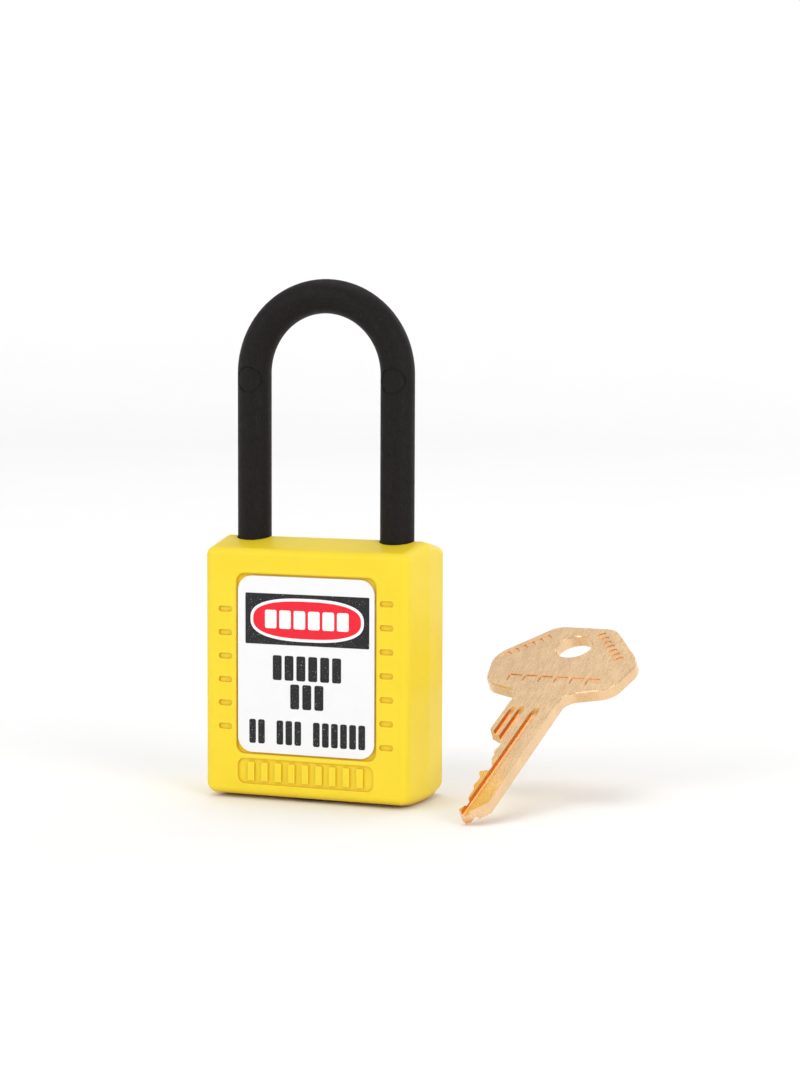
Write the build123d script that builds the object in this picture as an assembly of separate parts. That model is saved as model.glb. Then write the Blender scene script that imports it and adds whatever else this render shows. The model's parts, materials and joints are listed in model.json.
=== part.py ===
from build123d import *
import math
import os

# Safety lockout padlock: plastic body, nylon shackle, six-pin brass cylinder and its key.
# Frame: origin at the centre of the flat base, +Z up, label faces -Y, long shackle leg at -X.
# Every length is in millimetres.

# ---- body -----------------------------------------------------------------------------------
BODY_WIDTH = 38.0            # across the mid-depth parting ridge
FACE_WIDTH = 36.8            # across the front and back edges
BODY_DEPTH = 17.6
BODY_HEIGHT = 44.0           # at the parting ridge
TOP_FALL = 1.55              # the top slopes down this much from the ridge to each face
BASE_RISE = 0.7              # the base lifts this much at each face
BASE_FLAT_DEPTH = 9.0
EDGE_RADIUS = 1.3
TOP_CORNER_RADIUS = 1.5
BASE_CORNER_RADIUS = 1.8

# ---- labels ---------------------------------------------------------------------------------
LABEL_WIDTH = 24.8
LABEL_HEIGHT = 30.0
LABEL_CENTRE_Z = 23.0
LABEL_THICKNESS = 0.45
LABEL_CORNER_RADIUS = 2.6
RECESS_DEPTH = 0.7
RECESS_GAP = 0.3             # between label and recess wall
RECESS_CORNER_RADIUS = 1.5
RECESS_LIP_RADIUS = 0.45

# ---- plain moulded marks beside and below the label --------------------------------------------
MARK_DEPTH = 0.35
MARK_COLUMN_X = 14.65
MARK_PILL = (2.5, 1.0)
MARK_PITCH = 4.0
MARK_COUNTS = {-1: 6, 1: 7}  # left column, right column
MARK_CENTRE_Z = 22.2
PILL_END_RADIUS = 0.49
BAR_SIZE = (24.8, 4.4)
BAR_CORNER_RADIUS = 1.3
BAR_CENTRE_Z = 4.75
BAR_RIB_COUNT = 9
BAR_RIB_SIZE = (1.15, 3.2)

# ---- shackle --------------------------------------------------------------------------------
LEG_RADIUS = 2.9
LEG_OFFSET = 13.1            # leg centres from the middle
ARCH_CENTRE_Z = 71.8
LONG_LEG_END_Z = 12.0
SHORT_LEG_END_Z = 33.0
LEG_BORE_RADIUS = 3.05
LONG_BORE_END_Z = 11.0
SHACKLE_LIFT = 12.0
NECK_RADIUS = 1.35
LEG_END_CHAMFER = 0.6
MARK_RING_Z = 70.8
MARK_RING_RADIUS = 2.1
MARK_RING_WIDTH = 0.22
MARK_RING_DEPTH = 0.12

# ---- locking dogs ---------------------------------------------------------------------------
DOG_CENTRE_Z = 38.0
DOG_HEIGHT = 2.7
DOG_WIDTH = 3.8
DOG_TRAVEL = 1.7
DOG_TIP_X = 9.95             # drawn in, just inside the leg bore's wall
SLIDE_GAP = 0.12             # around a dog in its channel
NOTCH_FLOOR_X = 11.75
NOTCH_GAP = 0.35             # above and below a dog in its notch
CAM_LOW_RADIUS = 3.0
CAM_GAP = 0.1                # between cam and dog
CAM_STEP = 5                 # degrees between points of the cam's outline
CAM_DWELL = 10               # degrees of low radius before the rise
CAM_RISE_TURN = 90
CAM_OVERRUN = 2              # degrees that the rise runs on past a quarter turn
CAM_CREST_END = 120
CAM_FALL_TURN = 55
DOG_NOSE_RADIUS = 0.7
DOG_TIP_CHAMFER = 0.5

# ---- shackle retaining pin ------------------------------------------------------------------
RETAINER_RADIUS = 0.9
RETAINER_X = -10.5
RETAINER_Z = 27.0
RETAINER_FRONT_Y = -6.0
RELIEF_FLAT_X = -11.6
RELIEF_GAP = 0.2

# ---- cylinder -------------------------------------------------------------------------------
FACE_Z = 0.3                 # the cylinder's face sits just above the base
PLUG_RADIUS = 5.0
BORE_GAP = 0.05              # plug in its bore
PLUG_TOP_Z = 28.0
FLANGE_RADIUS = 5.6
FLANGE_HEIGHT = 1.2
HOUSING_RADIUS = 6.6
HOUSING_TOP_Z = 28.0
TOWER_END_X = 13.4           # outer end of the tower that holds the pin chambers
TOWER_WIDTH = 5.2
POCKET_GAP = 0.1
PLUG_NECK_RADIUS = 3.1
CLIP_RADIUS = 5.9
CLIP_THICKNESS = 0.8
CLIP_MOUTH = 5.0
CLIP_GAP = 0.1               # between the clip and the plug's shoulder
PLUG_NECK_HEIGHT = 1.1
TAIL_TOP_Z = 33.0
TAIL_SIZE = (5.0, 1.8)

# ---- pins and springs -----------------------------------------------------------------------
PIN_COUNT = 6
PIN_PITCH = 3.15
FIRST_PIN_Z = 5.7
PIN_RADIUS = 1.25
PIN_BORE_GAP = 0.06
PIN_BORE_FLOOR = -1.5        # where the plug's pin bores end inside the keyway
KEY_PIN_CONE = (0.9, 0.8)    # height and depth of the cone at a key pin's inner end
DRIVER_LENGTH = 2.6
DRIVER_CHAMFER = 0.2
KEY_PIN_OUTER_END = 4.85      # its flat end's rim stays inside the plug's bore
SPRING_RADIUS = 0.85
SPRING_WIRE_RADIUS = 0.16
SPRING_TURNS = 5
SPRING_GAP = 0.05            # at each end of a spring
COVER_X = (12.7, 13.3)
COVER_WIDTH = 3.6
COVER_Z = (3.4, 23.8)

# ---- actuator and its guide -------------------------------------------------------------------
CHAMBER_RADIUS = 6.4
CHAMBER_TOP_Z = 40.0
GUIDE_RADIUS = 6.3
GUIDE_Z = (29.3, 36.3)
STEM_RADIUS = 4.0
STEM_GAP = 0.1

# ---- cylinder screw -------------------------------------------------------------------------
SCREW_X = 11.6
SCREW_RADIUS = 0.8
SCREW_HEAD_RADIUS = 1.4
SCREW_HEAD_HEIGHT = 1.3
SCREW_END_Z = 25.0
SCREW_SEAT_Z = 31.4
SCREW_GAP = 0.1
SOCKET_RADIUS = 0.75
SOCKET_DEPTH = 0.7

# ---- key ------------------------------------------------------------------------------------
KEY_THICKNESS = 2.15
BLADE_HEIGHT = 8.8
KEY_INSERTION = 24.0         # tip depth behind the cylinder's face when the key is home
BITTING = [5.0, 4.8, 3.8, 4.5, 4.15, 3.6]   # blade height left under each pin, bow end first
CUT_FLAT = 1.1
CUT_SLOPE = 0.7              # rise over run of a cut's flanks
# Outlines are (along from the tip, across from the blade's middle; the cut edge is the minus side).
TIP_OUTLINE = [(3.3, 4.4), (2.75, 4.0), (0.6, 2.2), (0.0, 1.3), (0.9, 0.1)]
SHOULDER_OUTLINE = [(19.9, -0.95), (21.8, -2.6), (22.8, -4.4)]
BLADE_END = 36.0             # inside the bow
BOW_SHIFT = 0.3              # the bow's middle lies this far towards the back edge
BOW_START = 31.0
BOW_OUTLINE = [(34.1, 4.4), (36.2, 12.05), (44.4, 14.1), (54.15, 5.7)]   # one side
BOW_CORNERS = [2.6, 3.8, 5.0, 3.8]
BOW_RIM_CHAMFER = 0.15
KEY_HOLE_U = 48.15
KEY_HOLE_RADIUS = 3.25
GROOVE_DEPTH = 0.6
GROOVE_FLANK = 0.2           # how much narrower a groove is at its floor, each side
GROOVE_CUTTER_RADIUS = 5.0
FRONT_GROOVES = [(1.45, 1.5, 29.5), (-1.4, 1.1, 29.7), (-3.0, 1.1, 29.5)]   # (across, width, end)
BACK_GROOVES = [(-0.2, 1.3, 29.5), (2.5, 1.0, 29.5)]
STAMP_DEPTH = 0.14
STAMP_ROWS = [                # middle along and across, turn, count, pitch, bar length, bar width
    (38.05, 0.65, 90, 6, 3.0, 2.3, 1.9),
    (47.75, -8.4, 44, 6, 1.55, 0.95, 1.5),
    (48.65, 7.1, -41, 7, 1.55, 0.95, 1.5),
]
STAMP_CORNER_RADIUS = 0.3
KEY_TIP_POINT = (30.06, -16.52)             # where the tip stands on the floor
KEY_CLEAR_OF_FLOOR = 0.05
KEY_AXIS = (0.130, 0.876, 0.464)             # from tip to bow
KEY_ACROSS = (0.988, -0.156, 0.018)
KEYWAY_GAP = 0.12
KEYWAY_SPARE_DEPTH = 0.3

PLUG_BORE_RADIUS = PLUG_RADIUS + BORE_GAP
PIN_STATIONS = [FIRST_PIN_Z + PIN_PITCH * i for i in range(PIN_COUNT)]
BLADE_BACK = -4.8                            # the key's back edge from the plug's axis
HALF_PLATE = KEY_THICKNESS / 2
OVERCUT = 1.0                                # how far cuts run on past the faces they open
NEAR = 0.01                                  # for picking edges by place


def save(shape, node):
    """Write one node; a list becomes a group of separate solids."""
    if isinstance(shape, list):
        shape = Compound(children=shape)
    export_step(shape, f"parts/{node}.step")


def rod_z(radius, low, high, x=0.0, y=0.0):
    """Upright cylinder from low to high."""
    return Pos(x, y, (low + high) / 2) * Cylinder(radius, high - low)


def rod_x(radius, low, high, y=0.0, z=0.0):
    """Cylinder along X from low to high."""
    return Pos((low + high) / 2, y, z) * Rot(0, 90, 0) * Cylinder(radius, high - low)


def rod_y(radius, low, high, x=0.0, z=0.0):
    """Cylinder along Y from low to high."""
    return Pos(x, (low + high) / 2, z) * Rot(90, 0, 0) * Cylinder(radius, high - low)


def block(x, y, z):
    """Box between pairs of limits."""
    centre = [(a + b) / 2 for a, b in (x, y, z)]
    return Pos(*centre) * Box(x[1] - x[0], y[1] - y[0], z[1] - z[0])


def face_plate(width, height, radius, centre_z, near_y, far_y, centre_x=0.0):
    """Rounded plate that faces -Y, between two depths."""
    outline = Pos(centre_x, centre_z, 0) * RectangleRounded(width, height, radius)
    return Pos(0, far_y, 0) * extrude(Plane.XZ * outline, far_y - near_y)


def both_faces(front_cut):
    """A cut in the front face and the same cut turned into the back face."""
    return front_cut + Rot(0, 0, 180) * front_cut


# ---- body shell -----------------------------------------------------------------------------
def body_blank():
    """Solid body: roofed top, crowned sides, slightly lifted base edges, rounded all round."""
    half_w, half_f, half_d = BODY_WIDTH / 2, FACE_WIDTH / 2, BODY_DEPTH / 2
    plan = Polyline((half_f, -half_d), (half_w, 0), (half_f, half_d),
                    (-half_f, half_d), (-half_w, 0), (-half_f, -half_d), close=True)
    side = Polyline((-half_d, BASE_RISE), (-BASE_FLAT_DEPTH / 2, 0), (BASE_FLAT_DEPTH / 2, 0),
                    (half_d, BASE_RISE), (half_d, BODY_HEIGHT - TOP_FALL), (0, BODY_HEIGHT),
                    (-half_d, BODY_HEIGHT - TOP_FALL), close=True)
    tall = extrude(make_face(plan), BODY_HEIGHT)
    long = extrude(Plane.YZ * make_face(side), BODY_WIDTH, both=True)
    solid = tall & long

    def on_side(edge):
        centre = edge.center()
        return abs(centre.X) > half_f - EDGE_RADIUS and abs(centre.Y) < half_d - EDGE_RADIUS

    top_corners = [e for e in solid.edges() if on_side(e) and e.center().Z > BODY_HEIGHT - 2 * TOP_FALL]
    solid = fillet(top_corners, TOP_CORNER_RADIUS)
    base_corners = [e for e in solid.edges() if on_side(e) and e.center().Z < 2 * BASE_RISE]
    solid = fillet(base_corners, BASE_CORNER_RADIUS)
    rims = [e for e in solid.edges() if abs(abs(e.center().Y) - half_d) < NEAR]
    return fillet(rims, EDGE_RADIUS)


def label_recess():
    """Pocket for the front label."""
    face_y = -BODY_DEPTH / 2
    return face_plate(LABEL_WIDTH + 2 * RECESS_GAP, LABEL_HEIGHT + 2 * RECESS_GAP,
                      RECESS_CORNER_RADIUS, LABEL_CENTRE_Z, face_y - OVERCUT, face_y + RECESS_DEPTH)


def moulded_marks():
    """Columns of short bars beside the label, and a ribbed bar below it."""
    near, far = -BODY_DEPTH / 2 - OVERCUT, -BODY_DEPTH / 2 + MARK_DEPTH
    length, height = MARK_PILL
    marks = []
    for side, count in MARK_COUNTS.items():
        for i in range(count):
            z = MARK_CENTRE_Z + MARK_PITCH * (i - (count - 1) / 2)
            marks.append(face_plate(length, height, PILL_END_RADIUS, z, near, far, side * MARK_COLUMN_X))
    bar_length, bar_height = BAR_SIZE
    bar = face_plate(bar_length, bar_height, BAR_CORNER_RADIUS, BAR_CENTRE_Z, near, far)
    pitch = bar_length / (BAR_RIB_COUNT + 1)
    rib_width, rib_height = BAR_RIB_SIZE
    for i in range(BAR_RIB_COUNT):
        x = pitch * (i - (BAR_RIB_COUNT - 1) / 2)
        bar -= block((x - rib_width / 2, x + rib_width / 2), (near, far),
                     (BAR_CENTRE_Z - rib_height / 2, BAR_CENTRE_Z + rib_height / 2))
    for mark in marks:
        bar += mark
    return bar


def cylinder_pocket():
    """Keyhole-shaped pocket that takes the cylinder from below."""
    half = TOWER_WIDTH / 2 + POCKET_GAP
    top = HOUSING_TOP_Z + POCKET_GAP
    round_part = rod_z(HOUSING_RADIUS + POCKET_GAP, -OVERCUT, top)
    tower = block((0, TOWER_END_X + POCKET_GAP), (-half, half), (-OVERCUT, top))
    return round_part + tower


def body_shell():
    """The plastic body with its recesses, bores and the pocket for the cylinder."""
    shell = body_blank()
    half_d = BODY_DEPTH / 2
    shell -= both_faces(label_recess())
    lip = []
    for edge in shell.edges():
        centre = edge.center()
        on_face = abs(abs(centre.Y) - half_d) < NEAR
        near_label_x = abs(centre.X) < LABEL_WIDTH / 2 + 2 * RECESS_GAP
        near_label_z = abs(centre.Z - LABEL_CENTRE_Z) < LABEL_HEIGHT / 2 + 2 * RECESS_GAP
        if on_face and near_label_x and near_label_z:
            lip.append(edge)
    shell = fillet(lip, RECESS_LIP_RADIUS)
    shell -= both_faces(moulded_marks())
    high = BODY_HEIGHT + OVERCUT
    for x, low in ((-LEG_OFFSET, LONG_BORE_END_Z), (LEG_OFFSET, SHORT_LEG_END_Z)):
        shell -= rod_z(LEG_BORE_RADIUS, low, high, x)
    shell -= cylinder_pocket()
    shell -= rod_z(CHAMBER_RADIUS, HOUSING_TOP_Z, CHAMBER_TOP_Z)
    half_w, half_h = DOG_WIDTH / 2 + SLIDE_GAP, DOG_HEIGHT / 2 + SLIDE_GAP
    shell -= block((-LEG_OFFSET, LEG_OFFSET), (-half_w, half_w),
                   (DOG_CENTRE_Z - half_h, DOG_CENTRE_Z + half_h))
    shell -= rod_y(RETAINER_RADIUS, RETAINER_FRONT_Y, half_d, RETAINER_X, RETAINER_Z)
    shell -= rod_z(SCREW_HEAD_RADIUS + SCREW_GAP, SCREW_SEAT_Z, SHORT_LEG_END_Z, SCREW_X)
    shell -= rod_z(SCREW_RADIUS + SCREW_GAP, HOUSING_TOP_Z, SCREW_SEAT_Z, SCREW_X)
    return shell


def label(side):
    """Plate in the front (-1) or back (+1) recess."""
    far = -BODY_DEPTH / 2 + RECESS_DEPTH
    plate = face_plate(LABEL_WIDTH, LABEL_HEIGHT, LABEL_CORNER_RADIUS, LABEL_CENTRE_Z,
                       far - LABEL_THICKNESS, far)
    return plate if side < 0 else Rot(0, 0, 180) * plate


# ---- shackle --------------------------------------------------------------------------------
def neck(x, low, high, radius):
    """Ring cut that leaves a thinner round neck in a leg."""
    return rod_z(LEG_RADIUS + OVERCUT, low, high, x) - rod_z(radius, low, high, x)


def mark_ring(x):
    """Shallow circular ejector mark on the front of a leg."""
    front = -LEG_RADIUS - OVERCUT
    outer = rod_y(MARK_RING_RADIUS + MARK_RING_WIDTH / 2, front, 0, x, MARK_RING_Z)
    inner = rod_y(MARK_RING_RADIUS - MARK_RING_WIDTH / 2, front, 0, x, MARK_RING_Z)
    reach = MARK_RING_RADIUS + OVERCUT
    skin = neck(x, MARK_RING_Z - reach, MARK_RING_Z + reach, LEG_RADIUS - MARK_RING_DEPTH)
    return (outer - inner) & skin


def shackle():
    """Round-section bow with notches for the dogs and necks that let it turn when lifted."""
    long_leg = rod_z(LEG_RADIUS, LONG_LEG_END_Z, ARCH_CENTRE_Z, -LEG_OFFSET)
    short_leg = rod_z(LEG_RADIUS, SHORT_LEG_END_Z, ARCH_CENTRE_Z, LEG_OFFSET)
    long_leg = chamfer(long_leg.edges().sort_by(Axis.Z)[0], LEG_END_CHAMFER)
    short_leg = chamfer(short_leg.edges().sort_by(Axis.Z)[0], LEG_END_CHAMFER)
    section = Plane.XY * Pos(LEG_OFFSET, 0) * Circle(LEG_RADIUS)
    arch = Pos(0, 0, ARCH_CENTRE_Z) * revolve(section, Axis.Y, 180)
    if arch.center().Z < ARCH_CENTRE_Z:
        arch = Pos(0, 0, ARCH_CENTRE_Z) * revolve(section, Axis.Y, -180)
    body = long_leg + arch + short_leg

    low = DOG_CENTRE_Z - DOG_HEIGHT / 2 - NOTCH_GAP
    high = DOG_CENTRE_Z + DOG_HEIGHT / 2 + NOTCH_GAP
    body -= block((-NOTCH_FLOOR_X, NOTCH_FLOOR_X), (-LEG_RADIUS, LEG_RADIUS), (low, high))
    body -= neck(-LEG_OFFSET, low - SHACKLE_LIFT, high - SHACKLE_LIFT, NECK_RADIUS)

    reach = RETAINER_RADIUS + RELIEF_GAP
    relief_low = RETAINER_Z - SHACKLE_LIFT - reach
    body -= block((RELIEF_FLAT_X, 0), (-LEG_RADIUS, LEG_RADIUS), (relief_low, RETAINER_Z + reach))
    body -= neck(-LEG_OFFSET, relief_low, relief_low + 2 * reach, LEG_OFFSET + RELIEF_FLAT_X)
    for x in (-LEG_OFFSET, LEG_OFFSET):
        body -= mark_ring(x)
    return body


def retaining_pin():
    """Cross pin that keeps the long leg in the body; the back label hides its end."""
    back = BODY_DEPTH / 2 - RECESS_DEPTH
    return rod_y(RETAINER_RADIUS, RETAINER_FRONT_Y, back, RETAINER_X, RETAINER_Z)


# ---- dogs, actuator and guide ---------------------------------------------------------------
def locking_dog(side):
    """Bar with a rounded nose against the cam and a bevelled tip towards the leg."""
    low, high = DOG_CENTRE_Z - DOG_HEIGHT / 2, DOG_CENTRE_Z + DOG_HEIGHT / 2
    nose_x = CAM_LOW_RADIUS + CAM_GAP + DOG_NOSE_RADIUS
    bar_x = nose_x + 2 * DOG_NOSE_RADIUS
    nose = rod_z(DOG_NOSE_RADIUS, low, high, nose_x)
    bridge = block((nose_x, bar_x), (-DOG_NOSE_RADIUS, DOG_NOSE_RADIUS), (low, high))
    bar = block((bar_x, DOG_TIP_X), (-DOG_WIDTH / 2, DOG_WIDTH / 2), (low, high))
    tip = [e for e in bar.edges() if e.center().X > DOG_TIP_X - NEAR and abs(e.center().Y) < NEAR]
    bar = chamfer(tip, DOG_TIP_CHAMFER)
    dog = nose + bridge + bar
    return dog if side > 0 else Rot(0, 0, 180) * dog


def cam_plate():
    """Two-lobed plate: its radius grows evenly by the dogs' travel over a quarter turn."""
    crest = 1 + CAM_OVERRUN / CAM_RISE_TURN
    points = []
    for turn in range(0, 360, CAM_STEP):
        phase = (turn + CAM_DWELL) % 180
        if phase <= CAM_CREST_END:
            grown = min(max((phase - CAM_DWELL) / CAM_RISE_TURN, 0), crest)
        else:
            grown = max(crest * (1 - (phase - CAM_CREST_END) / CAM_FALL_TURN), 0)
        radius = CAM_LOW_RADIUS + DOG_TRAVEL * grown
        angle = math.radians(turn)
        points.append((radius * math.cos(angle), radius * math.sin(angle)))
    face = make_face(Polyline(*points, close=True))
    return Pos(0, 0, DOG_CENTRE_Z - DOG_HEIGHT / 2) * extrude(face, DOG_HEIGHT)


def actuator():
    """Cam on a stem that is slotted for the plug's tail."""
    stem = rod_z(STEM_RADIUS, GUIDE_Z[0] + STEM_GAP, DOG_CENTRE_Z - DOG_HEIGHT / 2)
    length, width = TAIL_SIZE
    half_l, half_w = length / 2 + STEM_GAP, width / 2 + STEM_GAP
    slot = block((-half_l, half_l), (-half_w, half_w), (GUIDE_Z[0], TAIL_TOP_Z + STEM_GAP))
    return stem - slot + cam_plate()


def actuator_guide():
    """Sleeve that fills the chamber and carries the actuator's stem."""
    low, high = GUIDE_Z
    return rod_z(GUIDE_RADIUS, low, high) - rod_z(STEM_RADIUS + STEM_GAP, low, high)


# ---- cylinder -------------------------------------------------------------------------------
def cylinder_housing():
    """Round case for the plug with a tower beside it for the pin chambers."""
    half = TOWER_WIDTH / 2
    body = rod_z(HOUSING_RADIUS, FACE_Z, HOUSING_TOP_Z)
    body += block((0, TOWER_END_X), (-half, half), (FACE_Z, HOUSING_TOP_Z))
    body -= rod_z(PLUG_BORE_RADIUS, FACE_Z, HOUSING_TOP_Z)
    body -= rod_z(FLANGE_RADIUS + BORE_GAP, FACE_Z, FACE_Z + FLANGE_HEIGHT + BORE_GAP)
    for z in PIN_STATIONS:
        body -= rod_x(PIN_RADIUS + PIN_BORE_GAP, PLUG_RADIUS - OVERCUT, COVER_X[0], z=z)
    body -= block((COVER_X[0], TOWER_END_X), (-COVER_WIDTH / 2, COVER_WIDTH / 2), COVER_Z)
    body -= rod_z(SCREW_RADIUS, SCREW_END_Z, HOUSING_TOP_Z, SCREW_X)
    return body


def chamber_cover():
    """Strip that closes the spring chambers."""
    return block(COVER_X, (-COVER_WIDTH / 2, COVER_WIDTH / 2), COVER_Z)


def keyway():
    """Slot for the key with a ward for each of its grooves; the pins' side is +Y."""
    half = HALF_PLATE + KEYWAY_GAP
    top = BLADE_BACK + BLADE_HEIGHT + KEYWAY_GAP
    z = (FACE_Z, FACE_Z + KEY_INSERTION + KEYWAY_SPARE_DEPTH)
    slot = block((-half, half), (-PLUG_RADIUS - OVERCUT, top), z)
    reach = half - GROOVE_DEPTH + KEYWAY_GAP
    for side, grooves in ((1, FRONT_GROOVES), (-1, BACK_GROOVES)):
        for across, width, _ in grooves:
            centre = BLADE_BACK + BLADE_HEIGHT / 2 - across
            ward_half = width / 2 - GROOVE_FLANK - KEYWAY_GAP
            x = sorted((side * half, side * reach))
            slot -= block(x, (centre - ward_half, centre + ward_half), z)
    return slot


def plug():
    """Turned to the open position: its pin chambers face +Y."""
    body = rod_z(PLUG_RADIUS, FACE_Z, PLUG_TOP_Z)
    body += rod_z(FLANGE_RADIUS, FACE_Z, FACE_Z + FLANGE_HEIGHT)
    body += rod_z(PLUG_NECK_RADIUS, PLUG_TOP_Z, PLUG_TOP_Z + PLUG_NECK_HEIGHT)
    length, width = TAIL_SIZE
    body += block((-length / 2, length / 2), (-width / 2, width / 2), (PLUG_TOP_Z, TAIL_TOP_Z))
    body -= keyway()
    for z in PIN_STATIONS:
        body -= rod_y(PIN_RADIUS + PIN_BORE_GAP, PIN_BORE_FLOOR, PLUG_RADIUS + OVERCUT, z=z)
    return body


def plug_retainer():
    """Open ring snapped round the plug's neck above the housing."""
    low = PLUG_TOP_Z + CLIP_GAP
    high = low + CLIP_THICKNESS
    ring = rod_z(CLIP_RADIUS, low, high) - rod_z(PLUG_NECK_RADIUS, low, high)
    return ring - block((-CLIP_MOUTH / 2, CLIP_MOUTH / 2), (0, CLIP_RADIUS + OVERCUT), (low, high))


def key_pin(index):
    """Pin that rides on the key's cut, with a cone at its inner end."""
    root = BLADE_BACK + BITTING[index]
    pin = rod_y(PIN_RADIUS, root, KEY_PIN_OUTER_END, z=PIN_STATIONS[index])
    height, depth = KEY_PIN_CONE
    return chamfer(pin.edges().sort_by(Axis.Y)[0], length=height, length2=depth)


def driver_pin(index):
    """Pin between a spring and the plug."""
    low = PLUG_BORE_RADIUS
    pin = rod_x(PIN_RADIUS, low, low + DRIVER_LENGTH, z=PIN_STATIONS[index])
    return chamfer(pin.edges().sort_by(Axis.X)[-1], DRIVER_CHAMFER)


def pin_spring(index):
    """Coil between a driver and the chamber cover."""
    low = PLUG_BORE_RADIUS + DRIVER_LENGTH + SPRING_WIRE_RADIUS + SPRING_GAP
    height = COVER_X[0] - SPRING_WIRE_RADIUS - SPRING_GAP - low
    path = Helix(height / SPRING_TURNS, height, SPRING_RADIUS)
    section = Plane(origin=path @ 0, z_dir=path % 0) * Circle(SPRING_WIRE_RADIUS)
    coil = sweep(section, path=path, is_frenet=True)
    return Pos(low, 0, PIN_STATIONS[index]) * Rot(0, 90, 0) * coil


def cylinder_screw():
    """Screw down the short leg's bore that holds the cylinder in the body."""
    head_top = SCREW_SEAT_Z + SCREW_HEAD_HEIGHT
    screw = rod_z(SCREW_RADIUS, SCREW_END_Z, SCREW_SEAT_Z, SCREW_X)
    screw += rod_z(SCREW_HEAD_RADIUS, SCREW_SEAT_Z, head_top, SCREW_X)
    hexagon = RegularPolygon(SOCKET_RADIUS, 6)
    socket = Pos(SCREW_X, 0, head_top - SOCKET_DEPTH) * extrude(hexagon, SOCKET_DEPTH)
    return screw - socket


# ---- key ------------------------------------------------------------------------------------
def bitting_edge():
    """The cuts as (along, across) points, from the one nearest the tip to the one nearest the bow."""
    back = BLADE_HEIGHT / 2
    stations = [KEY_INSERTION + FACE_Z - z for z in PIN_STATIONS]
    cuts = sorted(zip(stations, [back - height for height in BITTING]))
    points = []
    for i, (along, across) in enumerate(cuts):
        points += [(along - CUT_FLAT / 2, across), (along + CUT_FLAT / 2, across)]
        if i + 1 < len(cuts):
            next_along, next_across = cuts[i + 1]
            run = next_along - along - CUT_FLAT
            rise = (run * CUT_SLOPE - (across - next_across)) / 2
            points.append((along + CUT_FLAT / 2 + rise / CUT_SLOPE, across - rise))
    return points


def key_blade():
    """The blade, tip at the origin, running along X."""
    back = BLADE_HEIGHT / 2
    outline = Polyline(*TIP_OUTLINE, *bitting_edge(), *SHOULDER_OUTLINE,
                       (BLADE_END, -back), (BLADE_END, back), close=True)
    return Pos(0, 0, -HALF_PLATE) * extrude(make_face(outline), KEY_THICKNESS)


def key_bow():
    """The bow and neck with softened rims."""
    near = [(BOW_START, -BLADE_HEIGHT / 2)] + [(u, BOW_SHIFT - v) for u, v in BOW_OUTLINE]
    far = [(u, BOW_SHIFT + v) for u, v in reversed(BOW_OUTLINE)] + [(BOW_START, BLADE_HEIGHT / 2)]
    rim = FilletPolyline(*near, *far, radius=BOW_CORNERS + list(reversed(BOW_CORNERS)))
    face = make_face(Curve() + [rim, Line(far[-1], near[0])])
    bow = Pos(0, 0, -HALF_PLATE) * extrude(face, KEY_THICKNESS)
    bow -= Pos(KEY_HOLE_U, BOW_SHIFT, 0) * Cylinder(KEY_HOLE_RADIUS, KEY_THICKNESS * 2)
    rims = []
    for edge in bow.edges():
        centre = edge.center()
        on_face = abs(abs(centre.Z) - HALF_PLATE) < NEAR
        at_hole = abs(centre.X - KEY_HOLE_U) < KEY_HOLE_RADIUS and abs(centre.Y) < KEY_HOLE_RADIUS
        if on_face and not at_hole and centre.X > BOW_START + NEAR:
            rims.append(edge)
    return chamfer(rims, BOW_RIM_CHAMFER)


def groove(across, width, end, side):
    """Bevel-sided groove that runs out the way its round cutter leaves the plate."""
    middle = end - math.sqrt(2 * GROOVE_CUTTER_RADIUS * GROOVE_DEPTH - GROOVE_DEPTH ** 2)
    floor, wide = width / 2 - GROOVE_FLANK, width / 2 + GROOVE_FLANK
    depth = 2 * GROOVE_DEPTH
    section = Polyline((-floor, 0), (floor, 0), (wide, depth), (-wide, depth), close=True)
    run = extrude(Plane.YZ * make_face(section), middle + OVERCUT)
    run = Pos(-OVERCUT, 0, 0) * run
    rim = Polyline((-floor, 0), (floor, 0), (wide, depth), (wide, GROOVE_CUTTER_RADIUS),
                   (-wide, GROOVE_CUTTER_RADIUS), (-wide, depth), close=True)
    disc = revolve(Plane.YZ * make_face(rim), Axis((0, 0, GROOVE_CUTTER_RADIUS), (0, 1, 0)), 360)
    cut = run + Pos(middle, 0, 0) * disc
    placed = Pos(0, across, HALF_PLATE - GROOVE_DEPTH) * cut
    return placed if side > 0 else Pos(0, 2 * across, 0) * Rot(180, 0, 0) * placed


def stamps():
    """Rows of short plain bars sunk in the marked face."""
    bars = []
    for along, across, turn, count, pitch, length, width in STAMP_ROWS:
        bar = extrude(RectangleRounded(length, width, STAMP_CORNER_RADIUS), STAMP_DEPTH, both=True)
        row = Pos(along, across, -HALF_PLATE) * Rot(0, 0, turn)
        for i in range(count):
            bars.append(row * Pos(pitch * (i - (count - 1) / 2), 0, 0) * bar)
    return bars


def key_local():
    """The key flat on the XY plane, its marked face towards -Z."""
    plate = key_blade() + key_bow()
    for side, grooves in ((-1, FRONT_GROOVES), (1, BACK_GROOVES)):
        for across, width, end in grooves:
            plate -= groove(across, width, end, side)
    for bar in stamps():
        plate -= bar
    return plate


def key():
    """The key held out beside the lock, tip down, as its axis and width directions say."""
    axis, across = Vector(*KEY_AXIS), Vector(*KEY_ACROSS)
    plane = Plane(origin=(0, 0, 0), x_dir=axis, z_dir=axis.cross(across))
    placed = plane.location * key_local()
    lift = KEY_CLEAR_OF_FLOOR - placed.bounding_box().min.Z
    return Pos(KEY_TIP_POINT[0], KEY_TIP_POINT[1], lift) * placed


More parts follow.
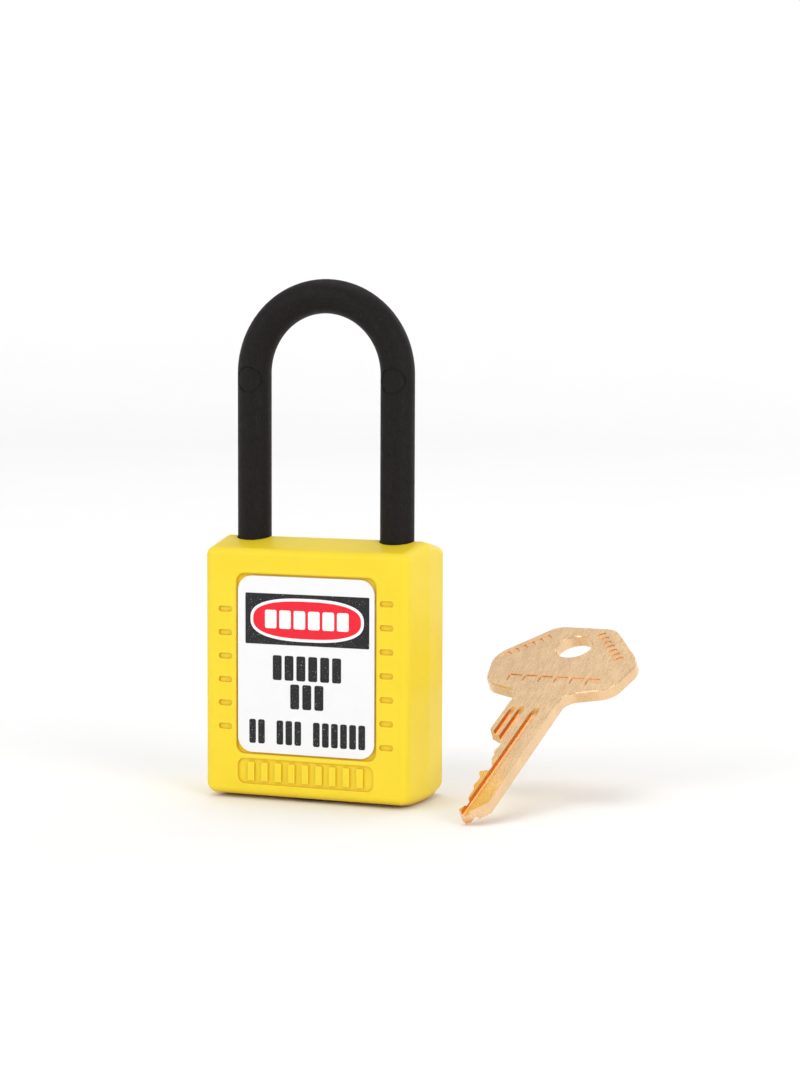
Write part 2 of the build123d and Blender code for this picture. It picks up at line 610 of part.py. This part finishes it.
def main():
    os.makedirs("parts", exist_ok=True)
    save(body_shell(), "body_shell")
    save(label(-1), "front_label")
    save(label(1), "back_label")
    save(shackle(), "shackle")
    save(retaining_pin(), "shackle_retaining_pin")
    save(locking_dog(-1), "left_locking_dog")
    save(locking_dog(1), "right_locking_dog")
    save(actuator(), "actuator_cam")
    save(actuator_guide(), "actuator_guide")
    save(cylinder_housing(), "cylinder_housing")
    save(chamber_cover(), "chamber_cover")
    save(plug(), "plug")
    save(plug_retainer(), "plug_retainer")
    save(cylinder_screw(), "cylinder_screw")
    for i in range(PIN_COUNT):
        save(key_pin(i), f"key_pin_{i + 1}")
        save(driver_pin(i), f"driver_pin_{i + 1}")
        save(pin_spring(i), f"pin_spring_{i + 1}")
    save(key(), "key")


main()
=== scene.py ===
import json
import math

import bmesh
import bpy
from mathutils import Matrix, Vector


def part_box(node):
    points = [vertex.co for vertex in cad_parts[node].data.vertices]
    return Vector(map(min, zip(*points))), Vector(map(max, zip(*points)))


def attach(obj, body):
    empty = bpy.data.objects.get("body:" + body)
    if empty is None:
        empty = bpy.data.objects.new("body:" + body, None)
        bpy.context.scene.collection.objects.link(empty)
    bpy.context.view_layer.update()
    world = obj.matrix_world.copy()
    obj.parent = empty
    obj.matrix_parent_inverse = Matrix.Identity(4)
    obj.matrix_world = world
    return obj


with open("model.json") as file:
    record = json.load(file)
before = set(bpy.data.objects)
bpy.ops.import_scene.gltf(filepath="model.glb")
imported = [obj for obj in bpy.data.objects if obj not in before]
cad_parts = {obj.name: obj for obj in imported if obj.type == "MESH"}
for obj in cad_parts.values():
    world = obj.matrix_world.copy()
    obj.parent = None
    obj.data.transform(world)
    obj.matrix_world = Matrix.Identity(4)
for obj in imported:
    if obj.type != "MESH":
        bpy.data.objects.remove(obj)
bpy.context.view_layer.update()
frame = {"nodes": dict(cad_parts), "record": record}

MM = 0.001

# ---- camera: a long lens a little above the lock, turned towards its right side --------------
CAMERA_TARGET = Vector((13.6, 0.0, 43.2)) * MM
CAMERA_DISTANCE = 434.9 * MM
CAMERA_AZIMUTH = 21.07       # degrees from straight in front towards +X
CAMERA_ELEVATION = 4.94
CAMERA_ROLL = 0.22
LENS_MM = 85.4
SENSOR_WIDTH_MM = 36.0
CLIP_START = 10 * MM

# ---- studio, in metres -------------------------------------------------------------------------
LIGHTS_CENTRE = Vector((0.01, 0.0, 0.04))
LIGHT_DISTANCE = 3.0
LIGHTS = (                    # name, direction, size, power in watts
    ("key_light", (-0.50, -0.72, 0.48), 1.5, 22.0),
    ("fill_light", (0.80, -0.45, 0.40), 1.7, 31.0),
    ("top_light", (-0.10, 0.20, 1.00), 1.5, 19.0),
    ("back_light", (0.30, 0.85, 0.42), 1.7, 9.0),
)
SKY_HEIGHTS = (0.13, 0.50)    # the sky's strength falls between these heights of the view direction
SKY_STRENGTHS = (1.02, 0.66)
FLOOR_DROP = 0.2 * MM         # keeps the floor clear of the underside
FLOOR_RADIUS = 1.3            # flat part
FLOOR_RINGS = 6
SWEEP_RADIUS = 0.9            # the rim's arc
SWEEP_RISE = math.radians(38)
SWEEP_STEPS = 10
FLOOR_SIDES = 96

# ---- printed label ----------------------------------------------------------------------------
INK_THICKNESS = 0.03 * MM
HEADER_SIZE = (22.5, 8.6)
HEADER_CENTRE = 7.8          # above the label's centre
HEADER_SHIFT = 0.25
LOZENGE_SIZE = (20.6, 7.3)
LOZENGE_BORDER = 0.5
LOZENGE_POWER = 2.6          # 2 is an ellipse, higher is squarer
# A row is its centre above the middle, block height, pitch, block width and blocks per group.
TITLE_ROW = (0.0, 3.1, 2.62, 2.1, (6,))
WORD_ROWS = (
    (-0.4, 4.2, 2.16, 1.62, (6,)),
    (-5.2, 4.2, 2.20, 1.62, (3,)),
    (-11.4, 4.1, 1.64, 1.20, (2, 3, 6)),
)
GROUP_GAP = 1.75
BLOCK_CORNER = 0.32
BLOCK_CORNER_STEPS = 4
HEADER_CORNER = 0.2
OVAL_STEPS = 72

CREVICE_SAMPLES = 8
SPECK_EDGE = 0.05             # how sharply a speck in the ink begins
SPECK_STRENGTH = 0.75
GROOVE_SHADE_REACH_MM = 1.6         # how near a wall must be for the painted groove shade to deepen the key's colour
GROOVE_SHADE_FADE = 0.35
GROOVE_SHADE_END = 0.9


# ================================================================================================
# Material building
# ================================================================================================
class Surface:
    """A node material with one Principled shader and short calls for the nodes that feed it."""

    def __init__(self, name):
        self.material = bpy.data.materials.new(name)
        self.material.use_nodes = True
        self.tree = self.material.node_tree
        self.shader = self.tree.nodes["Principled BSDF"]
        coordinates = self.tree.nodes.new("ShaderNodeTexCoord")
        self.place = coordinates.outputs["Object"]

    def put(self, kind, inputs=None, **settings):
        """Add a node, set its properties, then set or link its inputs."""
        made = self.tree.nodes.new(kind)
        for name, value in settings.items():
            setattr(made, name, value)
        for name, value in (inputs or {}).items():
            if isinstance(value, bpy.types.NodeSocket):
                self.tree.links.new(value, made.inputs[name])
            else:
                made.inputs[name].default_value = value
        return made

    def shade(self, **values):
        """Set or link the shader's own sockets; underscores stand for spaces."""
        for name, value in values.items():
            socket = self.shader.inputs[name.replace("_", " ")]
            if isinstance(value, bpy.types.NodeSocket):
                self.tree.links.new(value, socket)
            else:
                socket.default_value = value

    def stretched(self, x, y, z):
        """Coordinates scaled along each axis, for grain that runs one way."""
        made = self.put("ShaderNodeMapping", {"Vector": self.place, "Scale": (x, y, z)})
        return made.outputs["Vector"]

    def noise(self, size_mm, detail=2.0, roughness=0.5, place=None):
        """Noise whose blobs are about size_mm across, from 0 to 1."""
        made = self.put("ShaderNodeTexNoise", {
            "Vector": place or self.place, "Scale": 1000.0 / size_mm,
            "Detail": detail, "Roughness": roughness})
        return made.outputs["Fac"]

    def remap(self, value, low, high, to_low, to_high):
        """Stretch part of a value's range over another range, clamped."""
        made = self.put("ShaderNodeMapRange", {
            "Value": value, "From Min": low, "From Max": high, "To Min": to_low, "To Max": to_high})
        return made.outputs["Result"]

    def mix(self, factor, first, second):
        """Blend two colours by a factor socket; each colour is a socket or three numbers."""
        made = self.put("ShaderNodeMix", data_type="RGBA")
        wanted = ((made.inputs[0], factor), (made.inputs[6], first), (made.inputs[7], second))
        for socket, value in wanted:
            if isinstance(value, bpy.types.NodeSocket):
                self.tree.links.new(value, socket)
            else:
                socket.default_value = (*value, 1.0)
        return made.outputs[2]

    def bump(self, height, depth_mm, below=None):
        """Bump from a 0 to 1 height that stands depth_mm proud; below is a bump to lay it on."""
        inputs = {"Height": height, "Distance": depth_mm * MM, "Strength": 1.0}
        if below is not None:
            inputs["Normal"] = below
        return self.put("ShaderNodeBump", inputs).outputs["Normal"]

    def crevice(self, reach_mm):
        """1 in the open, towards 0 in corners and grooves."""
        made = self.put("ShaderNodeAmbientOcclusion", {"Distance": reach_mm * MM},
                        samples=CREVICE_SAMPLES)
        return made.outputs["AO"]

    def ridge(self, reach_mm):
        """1 on flat faces, towards 0 where the solid is thin, as along its outside edges."""
        made = self.put("ShaderNodeAmbientOcclusion", {"Distance": reach_mm * MM},
                        samples=CREVICE_SAMPLES, inside=True)
        return made.outputs["AO"]


def body_plastic():
    """Semi-gloss yellow moulded body: faint mottling, fine spark-eroded texture, painted shade in
    recesses, painted highlight on edges.
    """
    s = Surface("body_yellow")
    mottling = s.remap(s.noise(9.0, 3.0), 0.3, 0.7, 0.0, 1.0)
    colour = s.mix(mottling, (0.785, 0.585, 0.014), (0.815, 0.615, 0.019))
    # Painted shade: a darker orange where the surface is hemmed in, round the label recess and in
    # corners.
    recess_shade = s.remap(s.crevice(1.6), 0.35, 0.95, 0.0, 1.0)
    colour = s.mix(recess_shade, (0.70, 0.42, 0.006), colour)
    # Painted highlight: a paler, lighter yellow along the outside edges.
    edge_highlight = s.remap(s.ridge(0.9), 0.45, 0.9, 0.45, 0.0)
    colour = s.mix(edge_highlight, colour, (0.84, 0.665, 0.055))
    grain = s.noise(0.32, 3.0, 0.6)
    scuffs = s.noise(1.0, 4.0, 0.65, s.stretched(0.35, 1.0, 1.6))
    s.shade(Base_Color=colour, Roughness=s.remap(scuffs, 0.3, 0.75, 0.38, 0.52),
            Normal=s.bump(grain, 0.012, s.bump(s.noise(5.0, 2.0), 0.03)))
    s.shade(IOR=1.50, Specular_IOR_Level=0.35, Subsurface_Weight=0.05, Subsurface_Scale=0.8 * MM)
    s.shader.inputs["Subsurface Radius"].default_value = (1.0, 0.6, 0.1)
    return s.material


def nylon():
    """Matte black glass-filled nylon with a fine mottled grain."""
    s = Surface("nylon_black")
    grain = s.noise(0.38, 4.0, 0.65)
    blotch = s.noise(1.6, 3.0, 0.6)
    mottling = s.remap(grain, 0.35, 0.72, 0.0, 1.0)
    colour = s.mix(mottling, (0.0052, 0.0038, 0.0038), (0.0120, 0.0094, 0.0090))
    fibres = s.remap(s.noise(0.30, 2.0, 0.5, s.stretched(1.0, 1.0, 0.3)), 0.66, 0.76, 0.0, 0.5)
    colour = s.mix(fibres, colour, (0.034, 0.029, 0.028))
    s.shade(Base_Color=colour, Roughness=s.remap(blotch, 0.3, 0.7, 0.50, 0.64),
            Normal=s.bump(grain, 0.030, s.bump(blotch, 0.03)))
    s.shade(IOR=1.53, Specular_IOR_Level=0.13)
    return s.material


def label_plate():
    """White vinyl-faced plate with a faint orange peel."""
    s = Surface("label_white")
    colour = s.mix(s.noise(3.5, 3.0), (0.765, 0.768, 0.780), (0.795, 0.798, 0.808))
    s.shade(Base_Color=colour, Roughness=s.remap(s.noise(1.8, 3.0), 0.3, 0.7, 0.30, 0.40),
            Normal=s.bump(s.noise(0.6, 2.0), 0.006))
    s.shade(IOR=1.49, Specular_IOR_Level=0.4)
    return s.material


def ink(name, colour, worn, speck_size, speck_share):
    """Printed ink that lets specks of the white plate through."""
    s = Surface(name)
    specks = s.remap(s.noise(speck_size, 2.0, 0.5), speck_share, speck_share + SPECK_EDGE,
                     0.0, SPECK_STRENGTH)
    shade = s.mix(s.noise(2.5, 2.0), colour, worn)
    s.shade(Base_Color=s.mix(specks, shade, (0.80, 0.80, 0.82)),
            Roughness=s.remap(s.noise(1.2, 2.0), 0.3, 0.7, 0.32, 0.42),
            Normal=s.bump(s.noise(0.5, 2.0), 0.005))
    s.shade(Specular_IOR_Level=0.2)
    return s.material


def brass(name, bright, groove_shade_colour, rough):
    """Metal with fine drawn scratches, small pits and a deeper colour painted as shade inside its
    grooves.
    """
    s = Surface(name)
    drawn = s.noise(0.45, 5.0, 0.7, s.stretched(1.0, 0.12, 0.25))
    pits = s.remap(s.noise(0.24, 2.0), 0.60, 0.74, 1.0, 0.0)
    tarnish = s.remap(s.noise(3.0, 4.0, 0.6), 0.35, 0.7, 0.0, 1.0)
    tone = s.mix(tarnish, bright, tuple(0.90 * c for c in bright))
    # Painted shade: the deeper colour fills grooves and spots near a wall.
    inner = s.remap(s.crevice(GROOVE_SHADE_REACH_MM), GROOVE_SHADE_END - GROOVE_SHADE_FADE, GROOVE_SHADE_END, 0.0, 1.0)
    s.shade(Base_Color=s.mix(inner, groove_shade_colour, tone),
            Roughness=s.remap(drawn, 0.3, 0.7, rough - 0.05, rough + 0.08),
            Normal=s.bump(drawn, 0.0012, s.bump(pits, 0.0015)))
    s.shade(Metallic=1.0)
    return s.material


def turned_metal(name, colour, rough):
    """Plain machined metal with fine marks."""
    s = Surface(name)
    marks = s.noise(0.35, 4.0, 0.65, s.stretched(1.0, 1.0, 4.0))
    s.shade(Base_Color=s.mix(s.noise(2.0, 2.0), colour, tuple(0.88 * c for c in colour)),
            Roughness=s.remap(marks, 0.3, 0.7, rough - 0.06, rough + 0.08),
            Normal=s.bump(marks, 0.003))
    s.shade(Metallic=1.0)
    return s.material


def acetal():
    """Off-white sleeve inside the lock."""
    s = Surface("acetal")
    s.shade(Base_Color=s.mix(s.noise(3.0, 2.0), (0.74, 0.74, 0.70), (0.79, 0.79, 0.76)),
            Roughness=s.remap(s.noise(1.0, 2.0), 0.3, 0.7, 0.40, 0.52),
            Normal=s.bump(s.noise(0.4, 2.0), 0.004))
    return s.material


def floor_paint():
    """Plain pale studio floor."""
    s = Surface("studio_floor")
    s.shade(Base_Color=s.mix(s.noise(60.0, 2.0), (0.90, 0.90, 0.90), (0.915, 0.915, 0.915)),
            Roughness=s.remap(s.noise(8.0, 2.0), 0.3, 0.7, 0.62, 0.72))
    return s.material


# ================================================================================================
# Geometry helpers
# ================================================================================================
def rounded_outline(width, height, radius, steps=8):
    """Points of a rounded rectangle round the origin, anticlockwise."""
    radius = min(radius, width / 2, height / 2)
    points = []
    for corner in range(4):
        sx, sy = ((1, -1), (1, 1), (-1, 1), (-1, -1))[corner]
        centre = Vector((sx * (width / 2 - radius), sy * (height / 2 - radius)))
        for i in range(steps + 1):
            angle = math.radians(-90 + 90 * corner + 90 * i / steps)
            points.append(centre + radius * Vector((math.cos(angle), math.sin(angle))))
    return points


def new_object(name, mesh_bm, material):
    """Turn a bmesh into an object with one material."""
    bmesh.ops.recalc_face_normals(mesh_bm, faces=mesh_bm.faces)
    mesh = bpy.data.meshes.new(name)
    mesh_bm.to_mesh(mesh)
    mesh_bm.free()
    mesh.materials.append(material)
    made = bpy.data.objects.new(name, mesh)
    bpy.context.scene.collection.objects.link(made)
    return made


def printed(name, outlines, layer, side, material):
    """Thin ink shapes on a label: outlines in mm round the label's centre, layer 0 lowest."""
    low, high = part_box("front_label" if side < 0 else "back_label")
    centre = (low + high) / 2
    surface = low.y if side < 0 else high.y
    near = surface + side * INK_THICKNESS * layer
    far = near + side * INK_THICKNESS
    bm = bmesh.new()
    for outline in outlines:
        rings = []
        for y in (near, far):
            rings.append([bm.verts.new((centre.x - side * p.x * MM, y, centre.z + p.y * MM))
                          for p in outline])
        bm.faces.new(rings[0])
        bm.faces.new(rings[1])
        count = len(outline)
        for i in range(count):
            j = (i + 1) % count
            bm.faces.new((rings[0][i], rings[0][j], rings[1][j], rings[1][i]))
    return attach(new_object(name, bm, material), "lock_body")


def shifted(outline, dx, dy):
    """The outline moved by dx and dy."""
    return [p + Vector((dx, dy)) for p in outline]


def oval(width, height):
    """Squarish ellipse round the origin."""
    points = []
    for i in range(OVAL_STEPS):
        angle = math.tau * i / OVAL_STEPS
        c, d = math.cos(angle), math.sin(angle)
        x = math.copysign(abs(c) ** (2 / LOZENGE_POWER), c) * width / 2
        y = math.copysign(abs(d) ** (2 / LOZENGE_POWER), d) * height / 2
        points.append(Vector((x, y)))
    return points


def block_row(row):
    """Plain blocks in groups, standing where a line of print would be."""
    centre_y, height, pitch, width, groups = row
    blocks = []
    x = -(sum(groups) * pitch + GROUP_GAP * (len(groups) - 1)) / 2
    for count in groups:
        for _ in range(count):
            block = rounded_outline(width, height, BLOCK_CORNER, BLOCK_CORNER_STEPS)
            blocks.append(shifted(block, x + pitch / 2, centre_y))
            x += pitch
        x += GROUP_GAP
    return blocks


def print_label(side, inks):
    """Header panel, bordered oval and rows of plain blocks on one label."""
    black, red, white = inks
    end = "front" if side < 0 else "back"
    width, height = LOZENGE_SIZE

    def heading(outline):
        return shifted(outline, HEADER_SHIFT, HEADER_CENTRE)

    words = [block for row in WORD_ROWS for block in block_row(row)]
    title = [heading(block) for block in block_row(TITLE_ROW)]
    panel = heading(rounded_outline(*HEADER_SIZE, HEADER_CORNER))
    rows = [shifted(block, HEADER_SHIFT, 0) for block in words]
    printed(f"{end}_print_header", [panel], 0, side, black)
    printed(f"{end}_print_rows", rows, 0, side, black)
    printed(f"{end}_print_border", [heading(oval(width, height))], 1, side, white)
    inner = oval(width - 2 * LOZENGE_BORDER, height - 2 * LOZENGE_BORDER)
    printed(f"{end}_print_oval", [heading(inner)], 2, side, red)
    printed(f"{end}_print_title", title, 3, side, white)


# ================================================================================================
# Studio
# ================================================================================================
def studio_floor(material):
    """Round pale floor whose rim sweeps up, so that no horizon shows from any side."""
    profile = [(FLOOR_RADIUS * i / FLOOR_RINGS, 0.0) for i in range(1, FLOOR_RINGS + 1)]
    for i in range(1, SWEEP_STEPS + 1):
        angle = SWEEP_RISE * i / SWEEP_STEPS
        profile.append((FLOOR_RADIUS + SWEEP_RADIUS * math.sin(angle),
                        SWEEP_RADIUS * (1 - math.cos(angle))))
    bm = bmesh.new()
    middle = bm.verts.new((0, 0, -FLOOR_DROP))
    rings = []
    angles = [math.tau * k / FLOOR_SIDES for k in range(FLOOR_SIDES)]
    for radius, height in profile:
        rings.append([bm.verts.new((radius * math.cos(a), radius * math.sin(a), height - FLOOR_DROP))
                      for a in angles])
    for k in range(FLOOR_SIDES):
        bm.faces.new((middle, rings[0][k], rings[0][(k + 1) % FLOOR_SIDES]))
    for inner, outer in zip(rings, rings[1:]):
        for k in range(FLOOR_SIDES):
            n = (k + 1) % FLOOR_SIDES
            bm.faces.new((inner[k], outer[k], outer[n], inner[n]))
    floor = new_object("studio_floor", bm, material)
    for polygon in floor.data.polygons:
        polygon.use_smooth = True


def softbox(name, place, target, size, power):
    """Square area light at place, facing target."""
    light = bpy.data.lights.new(name, "AREA")
    light.shape = "SQUARE"
    light.size = size
    light.energy = power
    made = bpy.data.objects.new(name, light)
    made.location = place
    made.rotation_euler = (Vector(target) - Vector(place)).to_track_quat("-Z", "Y").to_euler()
    bpy.context.scene.collection.objects.link(made)


def studio_lights():
    """Four large soft lights under a white sky that is brighter near the horizon."""
    for name, direction, size, power in LIGHTS:
        place = LIGHTS_CENTRE + Vector(direction).normalized() * LIGHT_DISTANCE
        softbox(name, place, LIGHTS_CENTRE, size, power)
    world = bpy.data.worlds.new("studio")
    world.use_nodes = True
    nodes, links = world.node_tree.nodes, world.node_tree.links
    direction = nodes.new("ShaderNodeTexCoord")
    split = nodes.new("ShaderNodeSeparateXYZ")
    height = nodes.new("ShaderNodeMapRange")
    height.inputs["From Min"].default_value, height.inputs["From Max"].default_value = SKY_HEIGHTS
    height.inputs["To Min"].default_value, height.inputs["To Max"].default_value = SKY_STRENGTHS
    links.new(direction.outputs["Generated"], split.inputs["Vector"])
    links.new(split.outputs["Z"], height.inputs["Value"])
    links.new(height.outputs["Result"], nodes["Background"].inputs["Strength"])
    nodes["Background"].inputs["Color"].default_value = (1.0, 1.0, 1.0, 1.0)
    bpy.context.scene.world = world


def studio_camera():
    """Long lens looking at the target from its azimuth and elevation, turned by its roll."""
    azimuth, elevation = math.radians(CAMERA_AZIMUTH), math.radians(CAMERA_ELEVATION)
    back = Vector((math.sin(azimuth) * math.cos(elevation),
                   -math.cos(azimuth) * math.cos(elevation),
                   math.sin(elevation)))
    right = Vector((math.cos(azimuth), math.sin(azimuth), 0.0))
    up = back.cross(right)
    roll = math.radians(CAMERA_ROLL)
    level_right, level_up = right, up
    right = level_right * math.cos(roll) + level_up * math.sin(roll)
    up = level_up * math.cos(roll) - level_right * math.sin(roll)
    data = bpy.data.cameras.new("camera")
    data.lens = LENS_MM
    data.sensor_width = SENSOR_WIDTH_MM
    data.clip_start = CLIP_START
    camera = bpy.data.objects.new("camera", data)
    turn = Matrix((right, up, back)).transposed()
    camera.matrix_world = Matrix.Translation(CAMERA_TARGET + back * CAMERA_DISTANCE) @ turn.to_4x4()
    bpy.context.scene.collection.objects.link(camera)
    bpy.context.scene.camera = camera


# ================================================================================================
# Build
# ================================================================================================
def dress_cad(materials):
    """Give each CAD node the finish of its material slot."""
    for part in frame["record"]["subparts"]:
        node = frame["nodes"][part["node"]]
        node.data.materials.clear()
        node.data.materials.append(materials[part["material_slot"]])


finishes = {
    "body_yellow": body_plastic(),
    "label_white": label_plate(),
    "nylon_black": nylon(),
    # The second colour of each brass is its painted groove shade.
    "brass": brass("brass", (0.80, 0.60, 0.30), (0.42, 0.22, 0.07), 0.30),
    "pin_brass": brass("pin_brass", (0.82, 0.66, 0.38), (0.45, 0.26, 0.10), 0.26),
    "key_brass": brass("key_brass", (0.90, 0.62, 0.36), (0.82, 0.40, 0.15), 0.26),
    "zinc": turned_metal("zinc", (0.55, 0.55, 0.57), 0.42),
    "steel": turned_metal("steel", (0.62, 0.62, 0.64), 0.28),
    "spring_steel": turned_metal("spring_steel", (0.50, 0.50, 0.52), 0.30),
    "acetal": acetal(),
}
label_inks = (
    ink("ink_black", (0.012, 0.012, 0.013), (0.022, 0.022, 0.024), 0.22, 0.66),
    ink("ink_red", (0.80, 0.018, 0.035), (0.74, 0.015, 0.030), 0.30, 0.90),
    ink("ink_white", (0.88, 0.88, 0.90), (0.84, 0.84, 0.86), 0.30, 0.90),
)

dress_cad(finishes)
for label_side in (-1, 1):
    print_label(label_side, label_inks)
studio_floor(floor_paint())
studio_lights()
studio_camera()

scene = bpy.context.scene
scene.view_settings.view_transform = "Standard"
scene.view_settings.look = "None"
